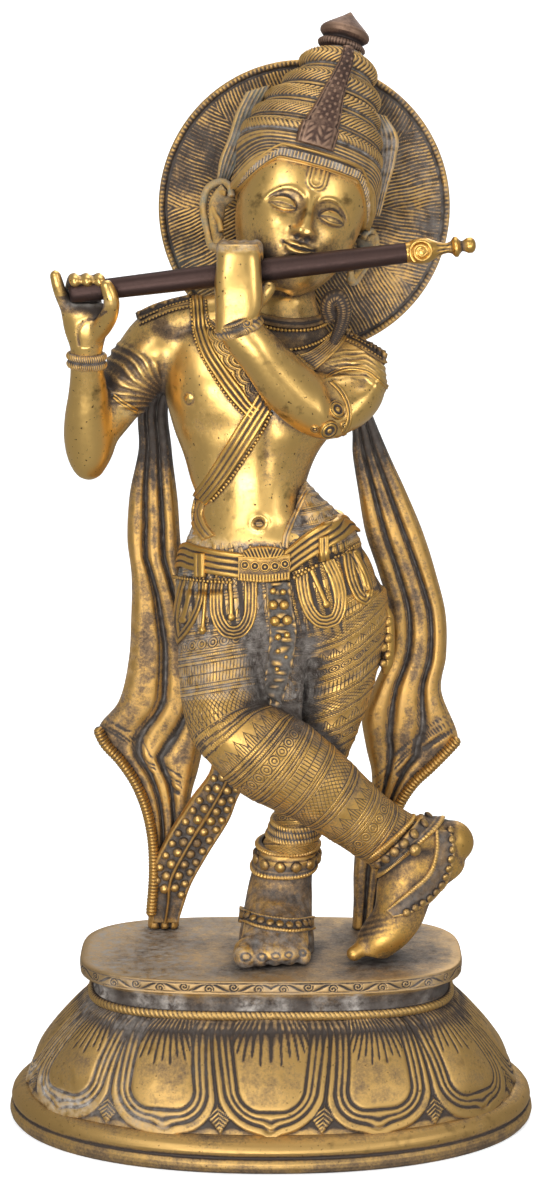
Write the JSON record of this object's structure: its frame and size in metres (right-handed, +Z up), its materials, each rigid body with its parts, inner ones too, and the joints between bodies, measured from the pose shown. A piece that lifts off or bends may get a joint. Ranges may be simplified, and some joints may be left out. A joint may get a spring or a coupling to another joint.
{
  "type": "krishna figure",
  "caption": "Cast brass flute player standing cross-legged with crown, halo disc and long scarf ends on an oval lotus plinth.",
  "frame": {"origin": "middle of the plinth's underside, on the surface that the figure stands on", "axes": "+Z up, the figure faces -Y, and +X is the side that its flute points to"},
  "size_m": [0.485, 0.336, 0.9991],
  "materials": {
    "figure_brass": "polished skin, engraved dress with brown patina in the recesses",
    "flute_dark": "dark purple-brown patina with a brass finial",
    "halo_brass": "aged, ribbed, dark in the grooves",
    "plinth_brass": "polished petals, aged plate and recesses"
  },
  "bodies": {
    "root": {"plinth": "plinth_brass", "figure": "figure_brass", "flute": "flute_dark", "halo": "halo_brass"}
  },
  "joints": []
}
